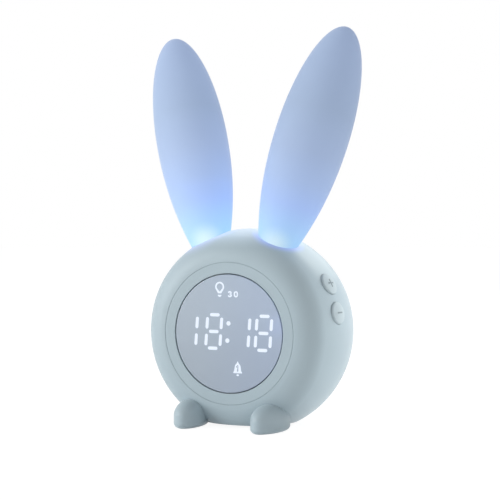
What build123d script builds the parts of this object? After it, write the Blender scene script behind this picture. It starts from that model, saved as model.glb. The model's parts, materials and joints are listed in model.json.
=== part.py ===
from build123d import *
import os
from math import atan2, cos, degrees, radians, sin, sqrt, tan

# A ball-shaped digital alarm clock with two lit ears, a round display, side keys and two paws.
# Pieces are modelled about the centre of the ball, front towards -Y, and moved to the table at the end.
# All sizes are millimetres and degrees.

# body ball
ball_radius = 50.0
base_cut = 6.0              # cut off the bottom of the ball for the flat base
base_gap = 1.3              # flat base above the table
face_cut = 23.7             # cut off the front of the ball for the flat face
rim_radius = 13.0           # rounding from the face to the ball
wall = 2.2
cover_depth = 26.0          # rear cover, from its seam to the back of the ball
seam_gap = 0.2              # line that shows at the seam
seat_gap = 0.05             # between a piece and the ball that it sits on
fit_gap = 0.2               # round a piece that slides into another
clamp_gap = 0.2             # left open by pieces that a screw draws together
boss_margin = 0.4           # flat seat below the curved inside of the ball

# screws
screw_radius = 0.8          # small tapping screws
screw_head_radius = 1.7
screw_head_height = 1.2
screw_bite = 5.0            # length in the plastic
cover_screw_radius = 1.25
cover_screw_head_radius = 2.6
cover_screw_head_height = 1.8
cover_screw_bite = 8.0
slot_width = 0.7            # cross recess of the cover screws
slot_depth = 0.8

# face: bezel, lens, gasket, film, reflector and board, from the front backwards
bezel_margin = 0.63         # flat left round the bezel, inside the rounded rim
bezel_gap = 0.15            # ring line round the bezel
bezel_width = 5.3
bezel_thickness = 2.0
bezel_edge = 0.3
bezel_screw_bite = 1.0
ledge_width = 2.9           # ledge of the body behind the bezel
ledge_root = 3.0            # how far the ledge runs along the front wall
ledge_thickness = 2.2
skirt_width = 2.0           # thick inner ring of the bezel
lens_gap = 0.45             # dark line round the lens
lens_recess = 0.2
lens_thickness = 1.8
gasket_thickness = 0.2
seat_width = 2.0            # flat that the lens is stuck to
seat_thickness = 1.2
reflector_depth = 6.5
board_thickness = 1.6
board_margin = 0.8          # board inside the skirt's outer edge
face_post_margin = 0.1      # posts inside the skirt's edges
board_screw_count = 3
bezel_screw_count = 4
led_height = 0.7
led_width = 1.6
led_depth = 0.8
chip_width = 9.0
chip_height = 1.2

# seven-segment digits, which share the width that the spaces beside them leave on the lens
digit_spaces = (3.75, 5.45, 7.25, 3.7, 5.75)
digit_middle = 0.8          # middle bar above the face centre
digit_height = 16.0         # between the top and bottom bars
digit_slant = 4.2
bar_width = 1.6
bar_gap = 2.4               # of the bar pitch, left open at the corners
colon_pitch = 8.2
colon_radius = 1.1
icon_radius = 2.9
high_icons = ((-4.3, 7.75), (2.7, 9.45))    # across the face, and down from the top of the lens
low_icons = ((5.2, 11.45),)                 # across the face, and up from its bottom

# ears: round hollow forms on necks that pass into the ball
ear_spread = 18.8
ear_forward = 8.8
ear_splay = 15.85           # outwards from upright
ear_lean = 8.85             # backwards from upright
ear_length = 106.2
ear_base_radius = 10.5
ear_belly_radius = 17.8
ear_belly_height = 50.6     # widest level, where a quarter of an ellipse begins
ear_flare = 17.0            # opening of the outline at the base
ear_wall = 1.8
ear_floor = 4.5             # bottom of the hollow above the base
neck_radius = 8.0
neck_bore = 5.0
socket_radius = 11.5
collar_radius = 10.4
collar_thickness = 2.0
ear_board_radius = 8.6
ear_board_thickness = 1.2
ear_led_radius = 2.5
ear_led_length = 6.0

# keys: two on each side, pressed along one shared direction
key_elevation = 19.9
key_forward = 8.6
key_spacing = 14.4
key_radius = 5.3
key_gap = 0.15
key_proud = 1.4             # top of the key above the ball
key_dome = 18.0             # radius of its domed top
key_edge = 0.8
key_travel = 0.8
key_flange_width = 1.5
key_flange_thickness = 1.2
key_ring_width = 0.7        # flat seat round the flange
key_rest_gap = 0.1
key_stem_radius = 2.0
key_stem_length = 1.5
plunger_radius = 1.7
plunger_length = 2.0
plunger_margin = 0.4        # left over at the end of the travel
switch_width = 6.2
switch_height = 3.4
switch_board_length = 27.0
switch_board_width = 24.0
switch_board_thickness = 1.2
switch_post_radius = 2.2
switch_post_place = 9.5

# paws and rear pads
paw_bearing = 41.8          # from straight ahead to the middle of a paw
paw_overhang = 7.77         # middle of a paw outside the edge of the flat base
paw_height = 5.8            # widest level above the table, where the dome of the paw begins
paw_half_width = 7.3
paw_half_length = 13.8
paw_dome = 7.3
paw_sole_edge = 2.2         # rounding of the sole
paw_toe_in = 6.0
stem_setback = 7.5          # paw stems pass the wall further back than the paws' middles
stem_radius = 3.0
stem_root = 1.5             # length of the stem inside the paw
stem_seat_radius = 5.6
paw_screw_head_radius = 4.2
paw_screw_root = 3.0        # length of the screw inside the paw
pad_spread = 11.0
pad_back = 12.0
pad_radius = 4.0
pad_recess = 0.5

# rear cover, speaker and charging socket
lip_length = 3.5
lip_wall = 1.8
lip_root = 2.5
cover_post_count = 4
cover_post_inset = 8.86     # from the outside of the ball at the seam
cover_post_radius = 3.0
cover_post_length = 14.0
cover_boss_radius = 4.0
cover_floor = 4.0           # plastic under the cover screw heads
rib_width = 1.6
speaker_setback = 9.0       # speaker's rim inside the back of the ball
speaker_radius = 14.0
speaker_seat_width = 0.8
speaker_wall = 1.6
speaker_wall_length = 3.5
speaker_rim = 1.0
speaker_basket_depth = 5.0
speaker_back_radius = 8.0
speaker_cone_radius = 12.4
speaker_cone_depth = 2.2
speaker_throat_radius = 3.25
speaker_sheet = 0.4
speaker_shell = 0.8
speaker_magnet_radius = 6.5
speaker_magnet_height = 3.5
speaker_ring_height = 1.5
grille_radius = 0.9
grille_pitch = 3.8
grille_rings = 3
usb_drop = 26.0
usb_width = 8.94
usb_height = 3.2
usb_corner = 1.28
usb_length = 7.4
usb_shell = 0.3
usb_back_wall = 1.2
usb_tongue_width = 6.7
usb_tongue_height = 0.7
usb_tongue_setback = 1.2
usb_setback = 2.81          # mouth of the socket inside the ball
usb_recess_width = 13.0
usb_recess_height = 7.0
usb_recess_corner = 2.3
usb_frame = 2.2             # plastic round and behind the recess
charge_board_width = 20.0
charge_board_length = 20.5
charge_board_thickness = 1.2
rail_width = 3.0
rail_height = 3.0
rail_length = 13.0
charge_screw_inset = 4.0    # from the front end of the rails

# battery on the floor of the ball
battery_width = 30.0
battery_length = 25.0
battery_height = 8.0
battery_edge = 2.6
battery_foam = 1.0
battery_foam_width = 22.0

# levels and places worked out from the sizes above
base_level = base_cut - ball_radius
base_radius = sqrt(ball_radius**2 - base_level**2)
table_level = base_level - base_gap
floor_level = base_level + wall
inner_radius = ball_radius - wall
face_depth = ball_radius - face_cut
seam_depth = ball_radius - cover_depth
rim_forward = face_depth - rim_radius
rim_out = sqrt((ball_radius - rim_radius) ** 2 - rim_forward**2)
bezel_radius = rim_out - bezel_margin
bezel_back = face_depth - bezel_thickness
lens_hole = bezel_radius - bezel_width
lens_radius = lens_hole - lens_gap
lens_back = face_depth - lens_recess - lens_thickness
seat_front = lens_back - gasket_thickness
seat_back = seat_front - seat_thickness
seat_bore = lens_hole - seat_width
skirt_radius = lens_hole + skirt_width
ledge_bore = bezel_radius - ledge_width
ledge_back = bezel_back - ledge_thickness
board_front = seat_front - reflector_depth
board_back = board_front - board_thickness
board_radius = skirt_radius - board_margin
face_post_place = (seat_bore + skirt_radius) / 2
face_post_radius = (skirt_radius - seat_bore) / 2 - face_post_margin
digit_count = len(digit_spaces) - 1
digit_width = (2 * lens_radius - sum(digit_spaces)) / digit_count
digit_places = [sum(digit_spaces[:i + 1]) + (i + 0.5) * digit_width - lens_radius for i in range(digit_count)]
icon_places = [(x, lens_radius - z) for x, z in high_icons] + [(x, z - lens_radius) for x, z in low_icons]
reach = 4 * ball_radius
quarter_round = 0.5523      # handles of a curve that draws a quarter of an ellipse

# directions: front and rear run along the depth, side and ear along a key and an ear
front = Plane(origin=(0, 0, 0), x_dir=(1, 0, 0), z_dir=(0, -1, 0))
rear = Plane(origin=(0, 0, 0), x_dir=(-1, 0, 0), z_dir=(0, 1, 0))
key_rise, key_turn = radians(key_elevation), radians(key_forward)
key_out = Vector(cos(key_rise) * cos(key_turn), -cos(key_rise) * sin(key_turn), sin(key_rise))
key_up = Vector(-sin(key_rise) * cos(key_turn), sin(key_rise) * sin(key_turn), cos(key_rise))
side = Plane(origin=(0, 0, 0), x_dir=key_up, z_dir=key_out)
ear_base = Vector(ear_spread, -ear_forward, sqrt(ball_radius**2 - ear_spread**2 - ear_forward**2))
ear_axis = Vector(tan(radians(ear_splay)), tan(radians(ear_lean)), 1).normalized()
ear = Plane(origin=ear_base, x_dir=ear_axis.cross(Vector(0, 1, 0)), z_dir=ear_axis)
paw_spread = (base_radius + paw_overhang) * sin(radians(paw_bearing))
paw_forward = (base_radius + paw_overhang) * cos(radians(paw_bearing))
paw_middle = Vector(paw_spread, -paw_forward, table_level + paw_height)
stem = Plane(origin=(0, 0, 0), z_dir=paw_middle + Vector(0, stem_setback, 0))

# levels along the ear: the flat seat inside the ball, and what is screwed under it
ear_rise = ear_base.dot(ear_axis)
ear_aside = sqrt(ball_radius**2 - ear_rise**2)
socket_depth = ear_rise - sqrt(inner_radius**2 - (ear_aside + socket_radius) ** 2) + boss_margin
neck_end = -socket_depth + clamp_gap
collar_low = -socket_depth - collar_thickness
ear_board_low = collar_low - ear_board_thickness
ear_screw_place = (neck_radius + neck_bore) / 2

# levels along a key: seat ring, flange, plunger, switch and board
key_place = key_spacing / 2
key_flange_radius = key_radius + key_flange_width
key_ring_radius = key_flange_radius + key_ring_width
key_seat = sqrt(inner_radius**2 - (key_place + key_ring_radius) ** 2) - boss_margin
key_flange_low = key_seat - key_rest_gap - key_flange_thickness
plunger_top = key_flange_low - key_stem_length
plunger_low = plunger_top - plunger_length
switch_top = plunger_top - key_travel - plunger_margin
switch_low = switch_top - switch_height
switch_board_low = switch_low - switch_board_thickness
paw_seat = sqrt(inner_radius**2 - stem_seat_radius**2) - boss_margin

# levels at the back: cover screws, speaker, socket and its board
cover_head_seat = seam_depth + seam_gap + cover_floor
cover_post_place = sqrt(ball_radius**2 - seam_depth**2) - cover_post_inset
post_top = seam_depth - seat_gap
lip_radius = sqrt(inner_radius**2 - seam_depth**2) - fit_gap
speaker_depth = ball_radius - speaker_setback
rim_low = speaker_depth - speaker_rim
basket_low = speaker_depth - speaker_basket_depth
usb_mouth_depth = sqrt(ball_radius**2 - usb_drop**2) - usb_setback
usb_back = usb_mouth_depth - usb_length
usb_frame_low = usb_mouth_depth - usb_frame
charge_board_top = -usb_drop - usb_height / 2
charge_board_low = charge_board_top - charge_board_thickness
dome_at_board = sqrt(inner_radius**2 - charge_board_low**2 - (charge_board_width / 2) ** 2)
charge_board_back = min(usb_frame_low, dome_at_board) - fit_gap
rail_place = (charge_board_width - rail_width) / 2
rail_front = usb_frame_low - rail_length
charge_screw_depth = rail_front + charge_screw_inset


def rod(radius, low, high, at=(0, 0)):
    low_end = (Align.CENTER, Align.CENTER, Align.MIN)
    return Pos(at[0], at[1], low) * Cylinder(radius, high - low, align=low_end)


def block(width, depth, low, high, at=(0, 0)):
    low_end = (Align.CENTER, Align.CENTER, Align.MIN)
    return Pos(at[0], at[1], low) * Box(width, depth, high - low, align=low_end)


def tube(outer, bore, low, high, at=(0, 0)):
    return rod(outer, low, high, at) - rod(bore, low, high, at)


def spin(points):
    return revolve(Plane.XZ * make_face(Polyline(*points, close=True)), Axis.Z)


def above(level):
    return block(reach, reach, level, level + reach)


def mirrored(shape):
    return mirror(shape, about=Plane.YZ)


def around(count, place, start=0.0):
    turns = [radians(start + 360 * i / count) for i in range(count)]
    return [(place * cos(t), place * sin(t)) for t in turns]


def screw(head_radius, head_height, radius, length):
    return rod(head_radius, -head_height, 0) + rod(radius, 0, length)


def small_screw(length):
    return screw(screw_head_radius, screw_head_height, screw_radius, length)


# The outer form of the body, or the same form moved inwards: a flat face, a rounded rim and a ball.
def ball(inset):
    join = degrees(atan2(rim_forward, rim_out))
    radius, flat = ball_radius - inset, face_depth - inset
    outline = [
        Line((0, flat), (rim_out, flat)),
        CenterArc((rim_out, rim_forward), rim_radius - inset, 90, join - 90),
        CenterArc((0, 0), radius, join, -90 - join),
        Line((0, -radius), (0, flat)),
    ]
    return front * revolve(Plane.XZ * make_face(outline), Axis.Z)


def body_shell():
    inside = ball(wall / 2)
    ear_sockets = ear * rod(socket_radius, -socket_depth, ear_floor)
    key_rings = [side * rod(key_ring_radius, key_seat, ball_radius, (x, 0)) for x in (-key_place, key_place)]
    switch_posts = [side * rod(switch_post_radius, switch_low, ball_radius, (0, y))
                    for y in (-switch_post_place, switch_post_place)]
    paw_seats = stem * rod(stem_seat_radius, paw_seat, ball_radius)
    right = [ear_sockets, *key_rings, *switch_posts, paw_seats]
    ledge = front * tube(bezel_radius + ledge_root, ledge_bore, ledge_back, bezel_back)
    posts = []
    for x, z in cover_post_at():
        posts.append(rear * rod(cover_post_radius, post_top - cover_post_length, post_top, (x, z)))
        rib = block(ball_radius - cover_post_place, rib_width, post_top - cover_post_length,
                    post_top - lip_length - 2 * fit_gap, (ball_radius / 2 + cover_post_place / 2, 0))
        posts.append(rear * (Rot(0, 0, degrees(atan2(z, x))) * rib))
    fittings = right + [mirrored(f) for f in right] + posts

    shell = (ball(0) & above(base_level)) - (ball(wall) & above(floor_level))
    shell += [f & inside for f in fittings] + [ledge]

    holes = [
        ear * rod(neck_radius + fit_gap, -socket_depth, ear_belly_height),
        stem * rod(stem_radius + fit_gap, paw_seat, reach),
        Pos(pad_spread, pad_back) * rod(pad_radius + fit_gap, base_level, base_level + pad_recess),
    ]
    holes += [side * rod(key_radius + key_gap, key_seat, reach, (x, 0)) for x in (-key_place, key_place)]
    holes += [side * rod(screw_radius, switch_low, switch_low + screw_bite, (0, y))
              for y in (-switch_post_place, switch_post_place)]
    holes += [mirrored(h) for h in holes]
    holes.append(front * rod(bezel_radius + bezel_gap, bezel_back, reach))
    holes.append(front * rod(ledge_bore, ledge_back, reach))
    holes += [front * rod(screw_radius + fit_gap, ledge_back, bezel_back, at) for at in bezel_screw_at()]
    holes += [rear * rod(cover_screw_radius, post_top - cover_screw_bite, post_top, at) for at in cover_post_at()]
    holes.append(rear * rod(reach, seam_depth, reach))
    return shell - holes


def cover_post_at():
    return around(cover_post_count, cover_post_place, 45)


def bezel_screw_at():
    return around(bezel_screw_count, (ledge_bore + bezel_radius) / 2, 45)


def board_screw_at():
    return around(board_screw_count, face_post_place, 90)


def face_bezel():
    ring = spin([(lens_hole, face_depth), (bezel_radius, face_depth), (bezel_radius, bezel_back),
                 (skirt_radius, bezel_back), (skirt_radius, seat_back), (seat_bore, seat_back),
                 (seat_bore, seat_front), (lens_hole, seat_front)])
    ring = fillet(ring.edges().filter_by(GeomType.CIRCLE).group_by(Axis.Z)[-1], bezel_edge)
    ring += [rod(face_post_radius, board_front, seat_front, at) for at in board_screw_at()]
    ring -= [rod(screw_radius, board_front, board_front + screw_bite, at) for at in board_screw_at()]
    ring -= [rod(screw_radius, bezel_back, bezel_back + bezel_screw_bite, at) for at in bezel_screw_at()]
    return front * ring


def display_lens():
    lens = rod(lens_radius, lens_back, face_depth - lens_recess)
    return front * fillet(lens.edges().group_by(Axis.Z)[-1], bezel_edge)


def lens_gasket():
    return front * tube(lens_hole - fit_gap, seat_bore + fit_gap, seat_front, lens_back)


def segment_film():
    return front * rod(seat_bore, seat_front, lens_back)


# Bars of one digit: place across and up from the digit's middle, and turn.
def digit_bars(place):
    half, rise, lean = digit_width / 2, digit_height / 4, tan(radians(digit_slant))
    level = [(place + z * lean, z, 0) for z in (-2 * rise, 0, 2 * rise)]
    upright = [(place + x + z * lean, z, 90 - digit_slant) for x in (-half, half) for z in (-rise, rise)]
    return level + upright


def lamp_places():
    bars = [bar for place in digit_places for bar in digit_bars(place)]
    dots = [(z * tan(radians(digit_slant)), z) for z in (-colon_pitch / 2, colon_pitch / 2)]
    return bars, dots


def segment_reflector():
    bars, dots = lamp_places()
    wells = [Pos(x, z + digit_middle) * Rot(0, 0, turn) *
             SlotOverall((digit_height / 2 if turn else digit_width) - bar_gap, bar_width) for x, z, turn in bars]
    wells += [Pos(x, z + digit_middle) * Circle(colon_radius) for x, z in dots]
    wells += [Pos(x, z) * Circle(icon_radius) for x, z in icon_places]
    body = rod(seat_bore - fit_gap, board_front, seat_front)
    return front * (body - extrude(Pos(0, 0, board_front) * (Sketch() + wells), reflector_depth))


def segment_leds():
    bars, dots = lamp_places()
    places = [(x, z + digit_middle, turn) for x, z, turn in bars]
    places += [(x, z + digit_middle, 0) for x, z in dots] + [(x, z, 0) for x, z in icon_places]
    chip = block(led_width, led_depth, board_front, board_front + led_height)
    return Compound([front * (Pos(x, z) * Rot(0, 0, turn) * chip) for x, z, turn in places])


def main_board():
    board = rod(board_radius, board_back, board_front)
    return front * (board - [rod(screw_radius + fit_gap, board_back, board_front, at) for at in board_screw_at()])


def control_chip():
    return front * block(chip_width, chip_width, board_back - chip_height, board_back)


def main_board_screws():
    one = small_screw(board_thickness + screw_bite)
    return Compound([front * (Pos(x, z, board_back) * one) for x, z in board_screw_at()])


def bezel_screws():
    one = small_screw(ledge_thickness + bezel_screw_bite)
    return Compound([front * (Pos(x, z, ledge_back) * one) for x, z in bezel_screw_at()])


# The ear's round outline from its base to its tip, drawn smaller by an inset.
def ear_form(inset):
    base, belly = ear_base_radius - inset, ear_belly_radius - inset
    tip = ear_length - inset
    shoulder = ear_belly_height + quarter_round * (tip - ear_belly_height)
    opening = (sin(radians(ear_flare)), cos(radians(ear_flare)))
    foot = base - socket_depth * tan(radians(ear_flare))
    outline = [
        Line((0, -socket_depth), (foot, -socket_depth)),
        Line((foot, -socket_depth), (base, 0)),
        Spline((base, 0), (belly, ear_belly_height), tangents=[opening, (0, 1)]),
        Bezier((belly, ear_belly_height), (belly, shoulder), (quarter_round * belly, tip), (0, tip)),
        Line((0, tip), (0, -socket_depth)),
    ]
    return revolve(Plane.XZ * make_face(outline), Axis.Z)


def right_ear():
    hollow = ear_form(ear_wall) & rod(reach, ear_floor, ear_length)
    form = ear * ear_form(0) - ball(-seat_gap)
    form += ear * rod(neck_radius, neck_end, ear_floor)
    form -= ear * hollow
    form -= ear * rod(neck_bore, neck_end, ear_floor)
    return form - [ear * rod(screw_radius, neck_end, neck_end + screw_bite, at) for at in ear_screw_at()]


def ear_screw_at():
    return around(2, ear_screw_place, 90)


def right_ear_collar():
    disc = tube(collar_radius, ear_led_radius + fit_gap, collar_low, -socket_depth)
    return ear * (disc - [rod(screw_radius + fit_gap, collar_low, -socket_depth, at) for at in ear_screw_at()])


def right_ear_board():
    disc = rod(ear_board_radius, ear_board_low, collar_low)
    return ear * (disc - [rod(screw_radius + fit_gap, ear_board_low, collar_low, at) for at in ear_screw_at()])


def right_ear_led():
    dome = collar_low + ear_led_length - ear_led_radius
    return ear * (rod(ear_led_radius, collar_low, dome) + Pos(0, 0, dome) * Sphere(ear_led_radius))


def ear_screws():
    one = small_screw(neck_end - ear_board_low + screw_bite)
    right = [ear * (Pos(x, y, ear_board_low) * one) for x, y in ear_screw_at()]
    return Compound(right + [mirrored(s) for s in right])


def right_button(place):
    outwards = Vector(place, 0, sqrt(ball_radius**2 - place**2)).normalized()
    dome = Pos(outwards * (ball_radius + key_proud - key_dome)) * Rot(90, 0, 0) * Sphere(key_dome)
    cap = rod(key_radius, key_seat, reach, (place, 0)) & dome
    cap = fillet(cap.edges().group_by(Axis.Z)[-1], key_edge)
    flange = rod(key_flange_radius, key_flange_low, key_flange_low + key_flange_thickness, (place, 0))
    neck = rod(key_radius, key_flange_low, key_seat, (place, 0))
    return side * (cap + neck + flange + rod(key_stem_radius, plunger_top, key_flange_low, (place, 0)))


def right_plunger(place):
    return side * rod(plunger_radius, plunger_low, plunger_top, (place, 0))


def right_switches():
    well = rod(plunger_radius + fit_gap, plunger_low - key_travel - fit_gap, switch_top)
    can = block(switch_width, switch_width, switch_low, switch_top) - well
    return Compound([side * (Pos(place, 0) * can) for place in (-key_place, key_place)])


def right_switch_board():
    board = block(switch_board_length, switch_board_width, switch_board_low, switch_low)
    holes = [rod(screw_radius + fit_gap, switch_board_low, switch_low, (0, y))
             for y in (-switch_post_place, switch_post_place)]
    return side * (board - holes)


def switch_board_screws():
    one = small_screw(switch_board_thickness + screw_bite)
    right = [side * (Pos(0, y, switch_board_low) * one) for y in (-switch_post_place, switch_post_place)]
    return Compound(right + [mirrored(s) for s in right])


def right_paw():
    dome = scale(Sphere(1), by=(paw_half_width, paw_half_length, paw_dome)) & above(0)
    foot = extrude(Ellipse(paw_half_width, paw_half_length), -paw_height)
    foot = fillet(foot.edges().group_by(Axis.Z)[0], paw_sole_edge)
    lobe = Pos(paw_middle) * Rot(0, 0, -paw_toe_in) * (dome + foot)
    lobe -= ball(-seat_gap) & above(base_level - seat_gap)
    lobe += stem * rod(stem_radius, paw_seat + clamp_gap, ball_radius + stem_root)
    return lobe - stem * rod(cover_screw_radius, paw_seat, ball_radius + paw_screw_root)


def paw_screws():
    one = screw(paw_screw_head_radius, cover_screw_head_height, cover_screw_radius,
                ball_radius + paw_screw_root - paw_seat)
    right = stem * (Pos(0, 0, paw_seat) * one)
    return Compound([right, mirrored(right)])


def rear_pads():
    pad = Pos(pad_spread, pad_back) * rod(pad_radius, table_level, base_level + pad_recess)
    return Compound([pad, mirrored(pad)])


def grille_places():
    places = [(0, 0)]
    for ring in range(1, grille_rings + 1):
        places += around(6 * ring, ring * grille_pitch)
    return places


def rear_cover():
    seat_bore_radius = speaker_radius - speaker_seat_width
    pocket, pocket_wall = speaker_radius + fit_gap, speaker_radius + fit_gap + speaker_wall
    speaker_seat = spin([(seat_bore_radius, speaker_depth), (pocket, speaker_depth),
                         (pocket, speaker_depth - speaker_wall_length),
                         (pocket_wall, speaker_depth - speaker_wall_length),
                         (pocket_wall, ball_radius), (seat_bore_radius, ball_radius)])
    usb_frame_block = block(usb_recess_width + 2 * usb_frame, usb_recess_height + 2 * usb_frame,
                            usb_frame_low, ball_radius, (0, -usb_drop))
    rails = [block(rail_width, rail_height, rail_front, ball_radius, (x, charge_board_low - rail_height / 2))
             for x in (-rail_place, rail_place)]
    bosses = [rod(cover_boss_radius, seam_depth + seam_gap, ball_radius, at) for at in cover_post_at()]
    lip = tube(lip_radius, lip_radius - lip_wall, seam_depth - lip_length, seam_depth + lip_root)
    inside = ball(wall / 2)

    cover = (ball(0) - ball(wall)) & rear * rod(reach, seam_depth + seam_gap, reach)
    cover += [(rear * f) & inside for f in (speaker_seat, usb_frame_block, lip, *rails, *bosses)]

    recess = RectangleRounded(usb_recess_width, usb_recess_height, usb_recess_corner)
    mouth = offset(usb_outline(), fit_gap)
    holes = [
        extrude(Pos(0, -usb_drop, usb_mouth_depth) * recess, ball_radius),
        extrude(Pos(0, -usb_drop, usb_back) * mouth, ball_radius),
    ]
    holes += [rod(grille_radius, speaker_depth, reach, at) for at in grille_places()]
    holes += [rod(cover_screw_radius + fit_gap, seam_depth, reach, at) for at in cover_post_at()]
    holes += [rod(cover_screw_head_radius + fit_gap, cover_head_seat, reach, at) for at in cover_post_at()]
    cover -= [rear * h for h in holes]
    return cover - [charge_screw_hole(screw_radius, screw_bite, x) for x in (-rail_place, rail_place)]


def rear_cover_screws():
    one = screw(cover_screw_head_radius, cover_screw_head_height, cover_screw_radius,
                cover_head_seat - post_top + cover_screw_bite)
    for turn in (0, 90):
        slot = block(2 * cover_screw_head_radius - 2 * slot_width, slot_width, -cover_screw_head_height,
                     slot_depth - cover_screw_head_height)
        one -= Rot(0, 0, turn) * slot
    return Compound([rear * (Pos(x, z, cover_head_seat) * Rot(180, 0, 0) * one) for x, z in cover_post_at()])


def speaker_frame():
    cone, back, throat = speaker_cone_radius, speaker_back_radius, speaker_throat_radius
    basket_floor = basket_low + speaker_shell
    return rear * spin([(cone, speaker_depth), (speaker_radius, speaker_depth), (speaker_radius, rim_low),
                        (cone + speaker_shell, rim_low), (back, basket_low), (throat, basket_low),
                        (throat, basket_floor), (back - speaker_shell, basket_floor), (cone, rim_low)])


def speaker_cone():
    edge, low, throat = speaker_cone_radius, speaker_depth - speaker_cone_depth, speaker_throat_radius
    return rear * spin([(edge, speaker_depth), (edge - speaker_shell, speaker_depth), (throat, low),
                        (0, low + speaker_sheet), (0, low), (throat, low - speaker_sheet),
                        (edge - speaker_shell, rim_low + speaker_sheet), (edge, rim_low + speaker_sheet)])


def speaker_magnet():
    return rear * rod(speaker_magnet_radius, basket_low - speaker_magnet_height, basket_low)


def speaker_ring():
    return rear * tube(speaker_radius + fit_gap / 2, speaker_cone_radius + speaker_shell + fit_gap,
                       rim_low - speaker_ring_height, rim_low)


def usb_outline():
    return RectangleRounded(usb_width, usb_height, usb_corner)


def usb_socket():
    shell = extrude(Pos(0, 0, usb_back) * usb_outline(), usb_length)
    shell -= extrude(Pos(0, 0, usb_back + usb_back_wall) * offset(usb_outline(), -usb_shell), usb_length)
    tongue = block(usb_tongue_width, usb_tongue_height, usb_back, usb_mouth_depth - usb_tongue_setback)
    return rear * (Pos(0, -usb_drop) * (shell + tongue))


def charge_screw_hole(radius, depth, x):
    return rod(radius, charge_board_low - depth, charge_board_top, (x, charge_screw_depth))


def charge_board():
    board = block(charge_board_width, charge_board_length, charge_board_low, charge_board_top,
                  (0, charge_board_back - charge_board_length / 2))
    return board - [charge_screw_hole(screw_radius + fit_gap, 0, x) for x in (-rail_place, rail_place)]


def charge_board_screws():
    one = Rot(180, 0, 0) * small_screw(charge_board_thickness + rail_height)
    return Compound([Pos(x, charge_screw_depth, charge_board_top) * one for x in (-rail_place, rail_place)])


def battery_pack():
    pack = block(battery_width, battery_length, floor_level + battery_foam,
                 floor_level + battery_foam + battery_height)
    return fillet(pack.edges().filter_by(Axis.Y), battery_edge)


def battery_pad():
    return block(battery_foam_width, battery_length, floor_level, floor_level + battery_foam)


pieces = {
    "body_shell": body_shell(),
    "rear_cover": rear_cover(),
    "rear_cover_screws": rear_cover_screws(),
    "face_bezel": face_bezel(),
    "bezel_screws": bezel_screws(),
    "display_lens": display_lens(),
    "lens_gasket": lens_gasket(),
    "segment_film": segment_film(),
    "segment_reflector": segment_reflector(),
    "segment_leds": segment_leds(),
    "main_board": main_board(),
    "main_board_screws": main_board_screws(),
    "control_chip": control_chip(),
    "ear_screws": ear_screws(),
    "plus_button": right_button(key_place),
    "minus_button": right_button(-key_place),
    "alarm_button": mirrored(right_button(key_place)),
    "set_button": mirrored(right_button(-key_place)),
    "plus_plunger": right_plunger(key_place),
    "minus_plunger": right_plunger(-key_place),
    "alarm_plunger": mirrored(right_plunger(key_place)),
    "set_plunger": mirrored(right_plunger(-key_place)),
    "switch_board_screws": switch_board_screws(),
    "paw_screws": paw_screws(),
    "rear_pads": rear_pads(),
    "speaker_frame": speaker_frame(),
    "speaker_cone": speaker_cone(),
    "speaker_magnet": speaker_magnet(),
    "speaker_ring": speaker_ring(),
    "usb_socket": usb_socket(),
    "charge_board": charge_board(),
    "charge_board_screws": charge_board_screws(),
    "battery_pack": battery_pack(),
    "battery_pad": battery_pad(),
}
paired = {
    "ear": right_ear(),
    "ear_collar": right_ear_collar(),
    "ear_board": right_ear_board(),
    "ear_led": right_ear_led(),
    "switches": right_switches(),
    "switch_board": right_switch_board(),
    "paw": right_paw(),
}
for name, shape in paired.items():
    pieces["right_" + name] = shape
    pieces["left_" + name] = mirrored(shape)

# The middle of the finished clock's outline stands over the origin, on the table.
paw_turn = radians(paw_toe_in)
paw_reach = paw_forward + sqrt((paw_half_width * sin(paw_turn)) ** 2 + (paw_half_length * cos(paw_turn)) ** 2)
place = Pos(0, (paw_reach - ball_radius) / 2, -table_level)

os.makedirs("parts", exist_ok=True)
for name, shape in pieces.items():
    export_step(place * shape, f"parts/{name}.step")
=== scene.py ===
import bpy
import bmesh
import json
from math import atan2, cos, degrees, hypot, radians, sin, sqrt, tan
from mathutils import Matrix, Vector


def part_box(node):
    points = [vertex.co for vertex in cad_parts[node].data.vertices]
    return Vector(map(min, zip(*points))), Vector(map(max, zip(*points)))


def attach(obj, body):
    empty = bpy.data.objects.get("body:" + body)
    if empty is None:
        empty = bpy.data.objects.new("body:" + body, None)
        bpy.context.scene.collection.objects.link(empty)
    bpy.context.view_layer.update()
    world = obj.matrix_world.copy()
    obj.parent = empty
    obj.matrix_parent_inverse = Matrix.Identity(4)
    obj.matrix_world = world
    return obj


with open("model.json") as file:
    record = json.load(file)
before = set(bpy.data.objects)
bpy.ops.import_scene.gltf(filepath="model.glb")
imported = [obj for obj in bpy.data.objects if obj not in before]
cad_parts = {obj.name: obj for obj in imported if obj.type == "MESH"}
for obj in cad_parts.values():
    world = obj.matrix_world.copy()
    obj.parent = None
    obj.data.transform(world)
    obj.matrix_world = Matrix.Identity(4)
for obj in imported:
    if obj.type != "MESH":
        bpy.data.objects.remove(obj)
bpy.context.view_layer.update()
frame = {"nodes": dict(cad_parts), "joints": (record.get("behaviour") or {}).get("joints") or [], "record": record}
mm = 0.001
nodeSlots = {part["node"]: part["material_slot"] for part in frame["record"]["subparts"]}

# places that the looks hang on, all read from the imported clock
lensLow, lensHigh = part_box("display_lens")
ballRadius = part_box("body_shell")[1].x
ballCentre = Vector((0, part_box("rear_cover")[1].y - ballRadius, (lensLow.z + lensHigh.z) / 2))
lensRadius = lensHigh.x
toRight, toBack, toTop = (1, 0, 0), (0, 1, 0), (0, 0, 1)


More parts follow.
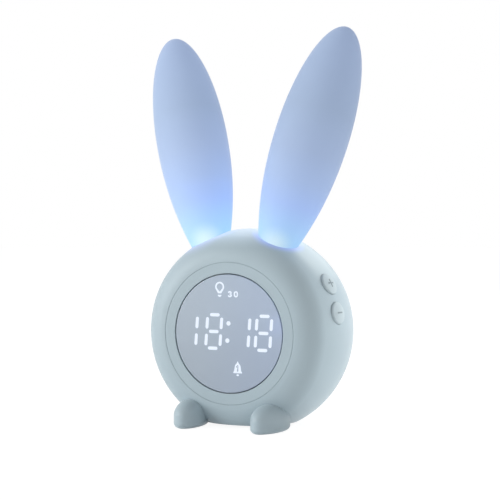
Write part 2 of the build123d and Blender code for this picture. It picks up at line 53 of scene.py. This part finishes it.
class Shade:  # one shader socket; Python maths on it adds Math nodes
    def __init__(self, tree, socket=None):
        self.tree = tree
        self.socket = socket

    def feed(self, target, value):
        if isinstance(value, Shade):
            self.tree.links.new(value.socket, target)
        else:
            target.default_value = value

    def node(self, kind, settings=None, sockets=None, out=0):  # settings are set first, then the sockets
        made = self.tree.nodes.new("ShaderNode" + kind)
        for name, value in (settings or {}).items():
            if name == "stops":
                fillRamp(made.color_ramp, value)
            else:
                setattr(made, name, value)
        for name, value in (sockets or {}).items():
            self.feed(made.inputs[name], value)
        return Shade(self.tree, made.outputs[out])

    def maths(self, operation, first, second):
        return self.node("Math", {"operation": operation}, {0: first, 1: second})

    def __add__(self, other):
        return self.maths("ADD", self, other)

    def __sub__(self, other):
        return self.maths("SUBTRACT", self, other)

    def __rsub__(self, other):
        return self.maths("SUBTRACT", other, self)

    def __mul__(self, other):
        return self.maths("MULTIPLY", self, other)

    def __truediv__(self, other):
        return self.maths("DIVIDE", self, other)

    def __rtruediv__(self, other):
        return self.maths("DIVIDE", other, self)

    __radd__ = __add__
    __rmul__ = __mul__

    def most(self, other):
        return self.maths("MAXIMUM", self, other)

    def step(self, low, high):  # 0 at low, 1 at high, smooth between them
        return self.node("MapRange", {"interpolation_type": "SMOOTHSTEP"},
                         {"Value": self, "From Min": low, "From Max": high})

    def blend(self, first, second):  # two colours, mixed by this value
        return self.node("Mix", {"data_type": "RGBA"}, {0: self, 6: first, 7: second}, out=2)

    def lay(self, under, colour):  # a colour, added over another by this value
        return self.node("Mix", {"data_type": "RGBA", "blend_type": "ADD"},
                         {0: self, 6: under, 7: colour}, out=2)

    def ramp(self, stops):
        return self.node("ValToRGB", {"stops": stops}, {"Fac": self})

    def place(self):  # the point on the piece, in metres
        return self.node("TexCoord", out=3)

    def noise(self, size, detail=2.0):  # patches of about that size
        return self.node("TexNoise", {}, {"Vector": self.place(), "Scale": 1 / size, "Detail": detail})

    def along(self, start, axis):  # how far the point lies from start along an axis
        offset = self.node("VectorMath", {"operation": "SUBTRACT"}, {0: self.place(), 1: start})
        return self.node("VectorMath", {"operation": "DOT_PRODUCT"}, {0: offset, 1: axis}, out=1)

    def away(self, start):  # how far the point lies from start
        return self.node("VectorMath", {"operation": "DISTANCE"}, {0: self.place(), 1: start}, out=1)

    def bump(self, height, distance):
        return self.node("Bump", {}, {"Height": height, "Distance": distance, "Strength": 1.0})


def fillRamp(ramp, stops):
    while len(ramp.elements) < len(stops):
        ramp.elements.new(1.0)
    for element, (place, colour) in zip(ramp.elements, stops):
        element.position = place
        element.color = colour


def paint(red, green, blue):  # a colour as a screen shows it, from 0 to 255, in the shader's own scale
    shares = [part / 255 for part in (red, green, blue)]
    return tuple(((s + 0.055) / 1.055) ** 2.4 if s > 0.04045 else s / 12.92 for s in shares) + (1.0,)


def grey(level):
    return (level, level, level, 1)


def toned(colour, share):
    return tuple(part * share for part in colour[:3]) + (1.0,)


def startMaterial(name, constants):
    made = bpy.data.materials.new(name)
    made.use_nodes = True
    shader = made.node_tree.nodes["Principled BSDF"]
    for socket, value in constants.items():
        shader.inputs[socket].default_value = value
    return made, Shade(made.node_tree), shader


def mould(shade, shader, colour, look):  # a mottled colour with a fine grain in its roughness and relief
    darker, lighter = (toned(colour, share) for share in look["tones"])
    shade.feed(shader.inputs["Base Color"], shade.noise(look["mottle"]).blend(darker, lighter))
    grain = shade.noise(look["grain"])
    shade.feed(shader.inputs["Roughness"], look["roughness"] + (grain - 0.5) * look["roughSpread"])
    shade.feed(shader.inputs["Normal"], shade.bump(grain, look["grainDepth"]))


# ears: where each one stands on the ball, how its light fades to the tip, and the light painted on the shell: the
# top, the right shoulder and a blue spill round each ear's foot
earLook = {
    "spread": 18.8 * mm, "forward": 8.8 * mm, "length": 106.2 * mm,
    "splay": radians(15.85), "lean": radians(8.85),
    "colour": paint(138, 151, 167), "tones": (0.96, 1.04), "mottle": 18 * mm,
    "roughness": 0.55, "roughSpread": 0.10, "grain": 0.5 * mm, "grainDepth": 0.004 * mm,
    "specular": 0.04, "sheen": 0.30, "sheenRough": 0.30,
    # the glow strength and the hotShare below are set per side, the right ear's weaker: painted shade, so that the
    # right ear renders darker than the left
    "lamps": {-1: 1.08, 1: 0.90},
    "glow": ((0.0, (0.23, 0.45, 0.72, 1)), (0.07, (0.215, 0.39, 0.70, 1)), (0.15, (0.205, 0.32, 0.65, 1)),
             (0.26, (0.20, 0.285, 0.51, 1)), (0.40, (0.185, 0.247, 0.41, 1)), (0.60, (0.155, 0.21, 0.335, 1)),
             (1.0, (0.165, 0.22, 0.365, 1))),
    "hot": (0.54, 0.68, 0.68, 1), "hotShare": {-1: 0.85, 1: 0.82},
    "hotPlace": (2.5 * mm, -9.9 * mm, 0), "hotReach": 10.5 * mm,
    # painted light on the shell, all given as emission: the ears' blue spill, the top of the ball and the right
    # shoulder
    "paintedSpill": {-1: (0.09, 0.08, 0.24, 1), 1: (0.0, 0.01, 0.25, 1)},
    "paintedSpillReach": {-1: (18 * mm, 10 * mm), 1: (14.5 * mm, 10.2 * mm)},
    "paintedCrownLight": (0.31, 0.34, 0.37, 1), "paintedCrownReach": (40 * mm, 51.5 * mm),
    "shoulder": (0.16, 0.165, 0.15, 1), "shoulderWay": (0.55, 0, 0.83), "shoulderReach": (42 * mm, 49.5 * mm),
    "shoulderFront": (-17.5 * mm, -9.5 * mm), "lightBack": (15 * mm, 3 * mm),
}


def earFrame(side):  # base on the ball and direction of one ear; side is 1 for right and -1 for left
    spread, forward = earLook["spread"], earLook["forward"]
    rise = sqrt(ballRadius ** 2 - spread ** 2 - forward ** 2)
    base = ballCentre + Vector((side * spread, -forward, rise))
    axis = Vector((side * tan(earLook["splay"]), tan(earLook["lean"]), 1)).normalized()
    return base, axis


def litEarPlastic(name, side):
    look = earLook
    made, shade, shader = startMaterial(name, {
        "Emission Strength": look["lamps"][side], "Specular IOR Level": look["specular"],
        "Sheen Weight": look["sheen"], "Sheen Roughness": look["sheenRough"]})
    mould(shade, shader, look["colour"], look)
    base, axis = earFrame(side)
    glow = (shade.along(base, axis) / look["length"]).ramp(look["glow"])
    foot = base + Vector(look["hotPlace"]) - ballCentre
    hotFoot = ballCentre + foot.normalized() * ballRadius  # the bright spot in front of the base
    hot = shade.away(hotFoot).step(look["hotReach"], 0) * look["hotShare"][side]
    shade.feed(shader.inputs["Emission Color"], hot.blend(glow, look["hot"]))
    return made


def paintedShellLight(shade):  # painted light on the shell: the top painted lighter, the right shoulder painted lit as by a lamp above and behind, and a painted blue spill round each ear's foot
    look = earLook
    depth = shade.along(ballCentre, toBack)
    fade = depth.step(*look["lightBack"])  # out before the seam
    # painted light: the top of the ball lighter, as lit from above and by the ears
    paintedCrownLight = shade.along(ballCentre, toTop).step(*look["paintedCrownReach"])
    lit = (paintedCrownLight * fade).lay(grey(0), look["paintedCrownLight"])
    # painted light: the right shoulder lit, as by a lamp above and behind on the right
    shoulder = shade.along(ballCentre, look["shoulderWay"]).step(*look["shoulderReach"])
    lit = (shoulder * depth.step(*look["shoulderFront"]) * fade).lay(lit, look["shoulder"])
    # painted light: a blue spill of each ear's glow round its foot
    for side in (-1, 1):
        base = earFrame(side)[0]
        lit = shade.away(base).step(*look["paintedSpillReach"][side]).lay(lit, look["paintedSpill"][side])
    return lit


# moulded shell: satin, pale blue grey
shellLook = {
    "colour": paint(170, 187, 195), "keyColour": paint(182, 197, 203),
    "tones": (0.965, 1.035), "mottle": 26 * mm,
    "roughness": 0.46, "roughSpread": 0.12, "grain": 0.45 * mm, "grainDepth": 0.006 * mm,
    "ior": 1.46, "sheen": 0.22, "sheenRough": 0.35,
}


def shellPlastic(name, colour, paintedSpill=False):
    look = shellLook
    made, shade, shader = startMaterial(name, {
        "Emission Strength": 1.0 if paintedSpill else 0.0, "IOR": look["ior"],
        "Sheen Weight": look["sheen"], "Sheen Roughness": look["sheenRough"]})
    mould(shade, shader, colour, look)
    # painted light of the top, the right shoulder and the ears' spill, as emission
    if paintedSpill:
        shade.feed(shader.inputs["Emission Color"], paintedShellLight(shade))
    return made


# display window: smoked half mirror; painted light on it: the tint lighter at the top and bluer to the right, and
# a painted highlight glowing at the upper right
lensLook = {
    "left": paint(169, 182, 195), "right": paint(165, 180, 202), "low": 0.90, "high": 1.05,
    "haze": 9 * mm, "hazeColour": paint(190, 200, 212), "hazeShare": 0.10, "hazeRough": 0.06,
    "roughness": 0.16, "coat": 0.35, "coatRough": 0.08,
    "paintedHighlight": (0.02, 0.03, 0.075, 1), "paintedHighlightPlace": (26 * mm, 4 * mm), "paintedHighlightReach": 9 * mm,
}


def smokedLens(name):
    look = lensLook
    made, shade, shader = startMaterial(name, {
        "Coat Weight": look["coat"], "Coat Roughness": look["coatRough"], "Emission Strength": 1.0})
    across, up = (shade.along(ballCentre, axis).step(-lensRadius, lensRadius) for axis in (toRight, toTop))
    # painted shade: the tint darker low, lighter high and bluer to the right
    low, high = (across.blend(toned(look["left"], share), toned(look["right"], share))
                 for share in (look["low"], look["high"]))
    haze = shade.noise(look["haze"])
    tint = (haze * look["hazeShare"]).blend(up.blend(low, high), look["hazeColour"])
    shade.feed(shader.inputs["Base Color"], tint)
    shade.feed(shader.inputs["Roughness"], look["roughness"] + haze * look["hazeRough"])
    # painted highlight at the upper right, given as emission
    x, z = look["paintedHighlightPlace"]
    paintedHighlight = shade.away(Vector((x, lensLow.y, ballCentre.z + z))).step(look["paintedHighlightReach"], 0)
    shade.feed(shader.inputs["Emission Color"], paintedHighlight.blend(grey(0), look["paintedHighlight"]))
    return made


# lit windows of the display
litLook = {
    "colour": paint(236, 244, 255), "dim": paint(229, 240, 254), "patch": 2.2 * mm,
    "unlit": (0.02, 0.02, 0.03, 1), "roughness": 0.35, "specular": 0.2,
    "thickness": 0.09 * mm, "sink": 0.02 * mm,
}


def litWindow(name):
    look = litLook
    made, shade, shader = startMaterial(name, {
        "Base Color": look["unlit"], "Roughness": look["roughness"],
        "Emission Strength": 1.0, "Specular IOR Level": look["specular"]})
    shade.feed(shader.inputs["Emission Color"], shade.noise(look["patch"]).blend(look["dim"], look["colour"]))
    return made


def plainLook(colour, roughness, grain, grainDepth, metal=0.0):  # grain size and depth in millimetres
    return {"colour": colour, "roughness": roughness, "grain": grain * mm, "grainDepth": grainDepth * mm,
            "metal": metal, "mottle": 12 * mm, "tones": (0.92, 1.06), "roughSpread": 0.15}


# plain finishes of the screws, pads and inner pieces
plainLooks = {
    "gasket_foam": plainLook(paint(80, 86, 94), 0.85, grain=0.6, grainDepth=0.05),
    "white_plastic": plainLook(paint(232, 232, 230), 0.5, grain=0.4, grainDepth=0.006),
    "lamp_resin": plainLook(paint(236, 240, 250), 0.15, grain=0.8, grainDepth=0.002),
    "board_laminate": plainLook(paint(38, 96, 62), 0.32, grain=0.9, grainDepth=0.01),
    "chip_resin": plainLook(paint(34, 34, 37), 0.55, grain=0.3, grainDepth=0.006),
    "screw_steel": plainLook(paint(176, 178, 182), 0.3, grain=0.25, grainDepth=0.004, metal=1.0),
    "pad_rubber": plainLook(paint(96, 101, 106), 0.8, grain=0.5, grainDepth=0.02),
    "speaker_metal": plainLook(paint(120, 123, 128), 0.4, grain=0.4, grainDepth=0.006, metal=0.9),
    "cone_sheet": plainLook(paint(52, 53, 56), 0.75, grain=0.5, grainDepth=0.02),
    "battery_foil": plainLook(paint(186, 188, 192), 0.35, grain=1.4, grainDepth=0.03, metal=0.8),
}


def plainFinish(name, look):
    made, shade, shader = startMaterial(name, {"Metallic": look["metal"]})
    mould(shade, shader, look["colour"], look)
    return made


def wear(piece, material):
    piece.data.materials.clear()
    piece.data.materials.append(material)


def dressFrame():
    finishes = {slot: plainFinish(slot, look) for slot, look in plainLooks.items()}
    finishes["lens_plastic"] = smokedLens("lens_plastic")
    finishes["shell_plastic"] = shellPlastic("shell_plastic", shellLook["colour"])
    # the ball's own shell wears a copy with painted light; the other shell pieces have none
    special = {"body_shell": shellPlastic("shell_plastic_lit", shellLook["colour"], paintedSpill=True),
               "left_ear": litEarPlastic("left_ear_plastic", -1),
               "right_ear": litEarPlastic("right_ear_plastic", 1)}
    keyPlastic = shellPlastic("key_plastic", shellLook["keyColour"])
    for node, piece in frame["nodes"].items():
        if node in special:
            wear(piece, special[node])
        else:
            wear(piece, keyPlastic if node.endswith("_button") else finishes[nodeSlots[node]])


dressFrame()
print("finishes:", len(bpy.data.materials), "materials on", len(frame["nodes"]), "nodes")


# flat outlines, in millimetres: across and up
def arcPoints(x, z, across, up, start, end, count):  # count steps from one angle to another, in degrees
    turns = [radians(start + (end - start) * i / count) for i in range(count + 1)]
    return [(x + across * cos(turn), z + up * sin(turn)) for turn in turns]


def discLoop(x, z, radius, count=28):
    return arcPoints(x, z, radius, radius, 0, 360, count)[:-1]


def strokeLoop(points, width, capSteps=6):  # the outline of a line of that width with round ends
    half = width / 2
    ahead = [(b[0] - a[0], b[1] - a[1]) for a, b in zip(points, points[1:])]
    ahead.append(ahead[-1])
    ways = []
    for i, after in enumerate(ahead):
        before = ahead[max(i - 1, 0)]
        x, z = (after[k] / hypot(*after) + before[k] / hypot(*before) for k in (0, 1))
        ways.append((x / hypot(x, z), z / hypot(x, z)))
    right = [(p[0] + half * w[1], p[1] - half * w[0]) for p, w in zip(points, ways)]
    left = [(p[0] - half * w[1], p[1] + half * w[0]) for p, w in zip(points, ways)]
    startTurn, endTurn = (degrees(atan2(way[1], way[0])) for way in (ways[0], ways[-1]))
    endCap = arcPoints(*points[-1], half, half, endTurn - 90, endTurn + 90, capSteps)[1:-1]
    startCap = arcPoints(*points[0], half, half, startTurn + 90, startTurn + 270, capSteps)[1:-1]
    return right + endCap + left[::-1] + startCap


def barLoop(x, z, turn, length, width):  # a bar with round ends
    reach = (length - width) / 2
    a, b = reach * cos(radians(turn)), reach * sin(radians(turn))
    return strokeLoop([(x - a, z - b), (x + a, z + b)], width)


weldReach = 0.001 * mm  # points nearer than this are one


def cutSheet(name, loops, thickness, edge=0.0):  # a flat sheet from closed loops; an inner loop is a hole
    curve = bpy.data.curves.new(name, "CURVE")
    curve.dimensions = "2D"
    curve.fill_mode = "BOTH"
    curve.extrude = thickness / 2 - edge
    curve.bevel_depth = edge
    curve.offset = -edge
    for loop in loops:
        spline = curve.splines.new("POLY")
        spline.points.add(len(loop) - 1)
        for point, (x, z) in zip(spline.points, loop):
            point.co = (x * mm, z * mm, 0, 1)
        spline.use_cyclic_u = True
    holder = bpy.data.objects.new(name, curve)
    bpy.context.scene.collection.objects.link(holder)
    mesh = bpy.data.meshes.new_from_object(holder.evaluated_get(bpy.context.evaluated_depsgraph_get()))
    bpy.data.objects.remove(holder)
    bpy.data.curves.remove(curve)
    weld = bmesh.new()
    weld.from_mesh(mesh)
    bmesh.ops.remove_doubles(weld, verts=weld.verts, dist=weldReach)
    bmesh.ops.recalc_face_normals(weld, faces=weld.faces)
    weld.to_mesh(mesh)
    weld.free()
    mesh.name = name
    return mesh


def crossCut(mesh, step, reach):  # adds a grid of edges, so that a flat sheet can follow a dome
    cut = bmesh.new()
    cut.from_mesh(mesh)
    lines = int(reach / step)
    for axis in (Vector(toRight), Vector(toBack)):
        for i in range(-lines, lines + 1):
            bmesh.ops.bisect_plane(cut, geom=cut.verts[:] + cut.edges[:] + cut.faces[:],
                                   plane_co=axis * i * step, plane_no=axis)
    cut.to_mesh(mesh)
    cut.free()


def standOnFace(mesh, depth):  # turns a flat sheet upright before the ball's middle, centred on that depth
    mesh.transform(Matrix(((1, 0, 0, 0), (0, 0, -1, depth), (0, 1, 0, ballCentre.z), (0, 0, 0, 1))))


def addPiece(name, mesh, body, material):
    piece = bpy.data.objects.new(name, mesh)
    bpy.context.scene.collection.objects.link(piece)
    wear(piece, material)
    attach(piece, body)
    return piece


# time display: four seven-segment places, and the bars that are lit in each
digitLook = {
    "places": (-20.6, -7.55, 7.3, 18.6), "lit": ("bc", "abcdefg", "bc", "abcdefg"),
    "middle": 0.8, "width": 7.6, "height": 16.0, "slant": 4.2, "bar": 1.6, "gap": 2.4,
    "colonPitch": 8.2, "colonRadius": 1.1,
}


def digitLoops(place, lit):
    look = digitLook
    half, rise, lean = look["width"] / 2, look["height"] / 4, tan(radians(look["slant"]))
    bars = {"a": (0, 2), "g": (0, 0), "d": (0, -2),
            "f": (-half, 1), "b": (half, 1), "e": (-half, -1), "c": (half, -1)}
    loops = []
    for name in lit:
        x, level = bars[name]
        up = level * rise
        turn = 0 if level % 2 == 0 else 90 - look["slant"]
        length = (look["height"] / 2 if turn else look["width"]) - look["gap"]
        loops.append(barLoop(place + x + up * lean, look["middle"] + up, turn, length, look["bar"]))
    return loops


def timeLoops():
    look = digitLook
    loops = [loop for place, lit in zip(look["places"], look["lit"]) for loop in digitLoops(place, lit)]
    for up in (-look["colonPitch"] / 2, look["colonPitch"] / 2):
        loops.append(discLoop(up * tan(radians(look["slant"])), look["middle"] + up, look["colonRadius"]))
    return loops


# lamp above the time: bulb, glass cut out of it, and screw cap
lampSign = {
    "x": -4.4, "z": 22.2, "shoulder": -28, "bulb": 2.4, "bulbSteps": 30, "collar": 0.85, "collarDrop": 3.15,
    "glass": 1.58, "glassSteps": 24, "glassDrop": 2.4,
    "cap": 1.0, "capSteps": 12, "capDrop": 3.85, "capDepth": 0.95,
}


def lampLoops():
    look = lampSign
    x, z, start = look["x"], look["z"], look["shoulder"]
    collar, collarLow = look["collar"], z - look["collarDrop"]
    bulb = arcPoints(x, z, look["bulb"], look["bulb"], start, 180 - start, look["bulbSteps"])
    bulb += [(x - collar, collarLow), (x + collar, collarLow)]
    glass = arcPoints(x, z, look["glass"], look["glass"], start, 180 - start, look["glassSteps"])
    glass += [(x, z - look["glassDrop"])]
    cap = arcPoints(x, z - look["capDrop"], look["cap"], look["capDepth"], 0, -180, look["capSteps"])
    return [bulb, glass, cap]


# minutes beside the lamp: 30
minuteSign = {
    "z": 18.8, "high": 1.14, "wide": 0.76, "stroke": 0.72,
    "threeX": 1.0, "upperShare": 0.86, "openTurn": 150, "waistTurn": 80, "bowlSteps": 12,
    "zeroX": 4.22, "zeroSteps": 14,
}


def zeroLoop(swell):
    look = minuteSign
    across, level = look["wide"] + swell, look["high"] - look["wide"]
    top, bottom = (arcPoints(look["zeroX"], look["z"] + side * level, across, across, start, start + 180,
                             look["zeroSteps"]) for side, start in ((1, 0), (-1, 180)))
    return top + bottom


def minuteLoops():
    look = minuteSign
    x, z, wide, bowl = look["threeX"], look["z"], look["wide"], look["high"] / 2
    opening, waist, steps = look["openTurn"], look["waistTurn"], look["bowlSteps"]
    three = arcPoints(x, z + bowl, wide * look["upperShare"], bowl, opening, -waist, steps)
    three += arcPoints(x, z - bowl, wide, bowl, waist, -opening, steps)
    half = look["stroke"] / 2
    return [strokeLoop(three, look["stroke"]), zeroLoop(half), zeroLoop(-half)]


# bell below the time: the right half of its outline, the number cut out of it, and its clapper
bellSign = {
    "x": 5.15, "z": -18.55,
    "outline": ((0.0, 5.75), (0.4, 5.0), (0.75, 4.45), (1.25, 3.95), (1.55, 3.1), (1.7, 2.0), (1.85, 1.1),
                (2.3, 0.4), (2.3, 0.0)),
    "number": ((-0.6, 2.95), (-0.02, 3.6), (0.02, 3.55), (0.02, 1.05)), "numberStroke": 0.7, "numberCaps": 4,
    "clapper": 0.66, "clapperDepth": 0.45, "clapperDrop": 0.92, "clapperSteps": 20,
}


def bellLoops():
    look = bellSign
    x, z, right = look["x"], look["z"], look["outline"]
    bell = [(x + a, z + b) for a, b in right] + [(x - a, z + b) for a, b in right[:0:-1]]
    number = strokeLoop([(x + a, z + b) for a, b in look["number"]], look["numberStroke"], look["numberCaps"])
    clapper = arcPoints(x, z - look["clapperDrop"], look["clapper"], look["clapperDepth"], 0, 360,
                        look["clapperSteps"])[:-1]
    return [bell, number, clapper]


def litPiece(name, loops, material):
    mesh = cutSheet(name, loops, litLook["thickness"])
    standOnFace(mesh, lensLow.y + litLook["sink"] - litLook["thickness"] / 2)
    return addPiece(name, mesh, "clock_body", material)


litFinish = litWindow("lit_window")
litLoops = {"time_digits": timeLoops(), "lamp_sign": lampLoops(), "minute_sign": minuteLoops(),
            "bell_sign": bellLoops()}
litPieces = [litPiece(name, loops, litFinish) for name, loops in litLoops.items()]
litFaces = sum(len(piece.data.polygons) for piece in litPieces)
print("display:", litFaces, "faces in", len(litPieces), "lit pieces")

# thin ring just under the face that closes the gap round the bezel; its darker shell colour is painted shade of
# the ring line
gapShadeLook = {"gap": 0.15, "drop": 0.14 * mm, "depth": 0.6 * mm, "steps": 180, "colour": paint(150, 166, 174)}


def bezelGapShade():
    look = gapShadeLook
    bezelLow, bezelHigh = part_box("face_bezel")
    radius = bezelHigh.x / mm
    rings = [discLoop(0, 0, radius + extra, look["steps"]) for extra in (look["gap"], 0)]
    mesh = cutSheet("bezel_lip", rings, look["depth"])
    standOnFace(mesh, bezelLow.y + look["drop"] + look["depth"] / 2)
    # darker shell plastic: painted shade of the ring line
    finish = shellPlastic("lip_plastic", look["colour"])
    return addPiece("bezel_lip", mesh, "clock_body", finish)


gapShade = bezelGapShade()
print("bezel lip:", len(gapShade.data.polygons), "faces")

# moulded signs on the keys, which follow the keys' domes
keyMarks = {
    "spacing": 14.4 * mm, "dome": 18 * mm, "domeProud": 1.4 * mm, "upperKeys": ("plus", "alarm"),
    "proud": 0.12 * mm, "sink": 0.08 * mm, "edge": 0.03 * mm, "grid": 0.5 * mm,
    "length": 4.2, "stroke": 0.7, "ring": 1.6, "setShare": 0.8, "setRise": 0.9,
    "colour": paint(132, 146, 152),
}


def keySigns():
    look = keyMarks
    reach, stroke, ring = look["length"], look["stroke"], look["ring"]
    half, end = stroke / 2, reach / 2
    plus = [(half, half), (end, half), (end, -half), (half, -half), (half, -end), (-half, -end),
            (-half, -half), (-end, -half), (-end, half), (-half, half), (-half, end), (half, end)]
    rise, length = look["setRise"], reach * look["setShare"]
    return {"plus": [plus],
            "minus": [barLoop(0, 0, 0, reach, stroke)],
            "alarm": [discLoop(0, 0, ring + half), discLoop(0, 0, ring - half)],
            "set": [barLoop(0, z, 0, length, stroke) for z in (-rise, rise)]}


def keyMark(key, loops, material):
    look = keyMarks
    press = Vector(next(joint["axis"] for joint in frame["joints"] if joint["child"] == key + "_key"))
    across = Vector(toTop).cross(-press).normalized()
    up = across.cross(press)
    rise = look["spacing"] / 2 * (1 if key in look["upperKeys"] else -1)
    out = (up * rise - press * sqrt(ballRadius ** 2 - rise ** 2)).normalized()
    top = out.cross(across)
    domeCentre = ballCentre + out * (ballRadius + look["domeProud"] - look["dome"])
    mesh = cutSheet(key + "_mark", loops, look["proud"] + look["sink"], look["edge"])
    crossCut(mesh, look["grid"], look["length"] * mm / 2)
    lift = (look["proud"] - look["sink"]) / 2
    for vertex in mesh.vertices:
        a, b, height = vertex.co.x, vertex.co.y, vertex.co.z + lift
        depth = sqrt((look["dome"] + height) ** 2 - a ** 2 - b ** 2)
        vertex.co = domeCentre + out * depth + across * a + top * b
    return addPiece(key + "_mark", mesh, key + "_key", material)


markFinish = shellPlastic("key_mark_plastic", keyMarks["colour"])
markPieces = [keyMark(key, loops, markFinish) for key, loops in keySigns().items()]
print("key marks:", len(markPieces))

# plain studio: pale floor, white surround, soft light from the left, the right and behind
studio = {
    "ambient": (0.70, 0.45), "aim": (0, 0, 0.08),
    "floorRadius": 6.0, "floorSteps": 96, "floorDrop": 0.05 * mm, "floorRough": 0.9,
    "floorAlbedo": 0.90, "floorSeen": 0.16, "floorLift": 0.92,
    "lamps": {
        "left_softbox": {"place": (-1.0, -0.75, 0.35), "size": 0.9, "watts": 9.6, "spares": False},
        "right_softbox": {"place": (0.76, 0.65, 0.12), "size": 0.6, "watts": 9.0, "spares": True},
        "back_softbox": {"place": (0.12, 0.90, 0.85), "size": 0.5, "watts": 5.0, "spares": True},
    },
    "spared": ("left_ear", "right_ear", "left_paw", "right_paw"),
}


def seenRay(shade):  # 1 where the eye, a reflection or glass looks at the surround
    outputs = shade.node("LightPath").socket.node.outputs
    seen, *others = (Shade(shade.tree, outputs[name])
                     for name in ("Is Camera Ray", "Is Glossy Ray", "Is Transmission Ray"))
    for other in others:
        seen = seen.most(other)
    return seen


def layFloor():
    look = studio
    mesh = bpy.data.meshes.new("floor")
    disc = bmesh.new()
    bmesh.ops.create_circle(disc, cap_ends=True, radius=look["floorRadius"], segments=look["floorSteps"])
    disc.to_mesh(mesh)
    disc.free()
    floor = bpy.data.objects.new("floor", mesh)
    floor.location.z = -look["floorDrop"]
    bpy.context.scene.collection.objects.link(floor)
    made, shade, shader = startMaterial("pale_floor", {
        "Roughness": look["floorRough"], "Emission Strength": 1.0, "Specular IOR Level": 0.0})
    seen = seenRay(shade)
    shade.feed(shader.inputs["Base Color"], seen.blend(grey(look["floorAlbedo"]), grey(look["floorSeen"])))
    shade.feed(shader.inputs["Emission Color"], seen.blend(grey(0), grey(look["floorLift"])))
    fromBelow = shade.node("NewGeometry", out="Backfacing")  # open from below, so that the soles show
    oneWay = shade.node("MixShader", {}, {0: fromBelow, 1: Shade(shade.tree, shader.outputs[0]),
                                          2: shade.node("BsdfTransparent")})
    shade.feed(made.node_tree.nodes["Material Output"].inputs["Surface"], oneWay)
    wear(floor, made)


def hangSurround():
    world = bpy.data.worlds.new("surround")
    world.use_nodes = True
    bpy.context.scene.world = world
    shade = Shade(world.node_tree)
    level, above = studio["ambient"]
    up = shade.node("SeparateXYZ", {}, {0: shade.node("TexCoord")}, out=2)
    ambient = up.step(0, 1).blend(grey(level), grey(above))
    colour = seenRay(shade).blend(ambient, grey(1))
    shade.feed(world.node_tree.nodes["Background"].inputs["Color"], colour)


def shadeFrom(lamp, nodes):  # holds a lamp's light off these pieces, as a card beside it would
    spared = bpy.data.collections.new(lamp.name + "_spared")
    for node in nodes:
        spared.objects.link(frame["nodes"][node])
    for held in spared.collection_objects:
        held.light_linking.link_state = "EXCLUDE"
    lamp.light_linking.receiver_collection = spared


def turnTo(thing, target):  # points a lamp or the camera at a place
    aim = Vector(target) - thing.location
    thing.rotation_euler = aim.to_track_quat("-Z", "Y").to_euler()


def hangLamps():
    for name, look in studio["lamps"].items():
        lamp = bpy.data.lights.new(name, "AREA")
        lamp.shape = "DISK"
        lamp.size = look["size"]
        lamp.energy = look["watts"]
        hung = bpy.data.objects.new(name, lamp)
        bpy.context.scene.collection.objects.link(hung)
        hung.location = look["place"]
        turnTo(hung, studio["aim"])
        if look["spares"]:
            shadeFrom(hung, studio["spared"])
            hung.visible_glossy = False  # no glint of the two at the back


layFloor()
hangSurround()
hangLamps()
print("studio:", len(studio["lamps"]), "lamps")

# camera at the photograph's place: where it stands and what it looks at, from the middle of the ball
cameraLook = {"place": (268.9 * mm, -560.77 * mm, 49.3 * mm), "target": (-0.95 * mm, 0, 39.32 * mm),
              "lens": 90.94, "sensor": 36, "near": 10 * mm}


def standCamera():
    look = cameraLook
    data = bpy.data.cameras.new("camera")
    data.lens = look["lens"]
    data.sensor_width = look["sensor"]
    data.clip_start = look["near"]
    camera = bpy.data.objects.new("camera", data)
    bpy.context.scene.collection.objects.link(camera)
    camera.location = ballCentre + Vector(look["place"])
    turnTo(camera, ballCentre + Vector(look["target"]))
    bpy.context.scene.camera = camera


standCamera()
bpy.context.scene.view_settings.view_transform = "Standard"
print("camera:", [round(part / mm, 1) for part in bpy.context.scene.camera.location], "mm")
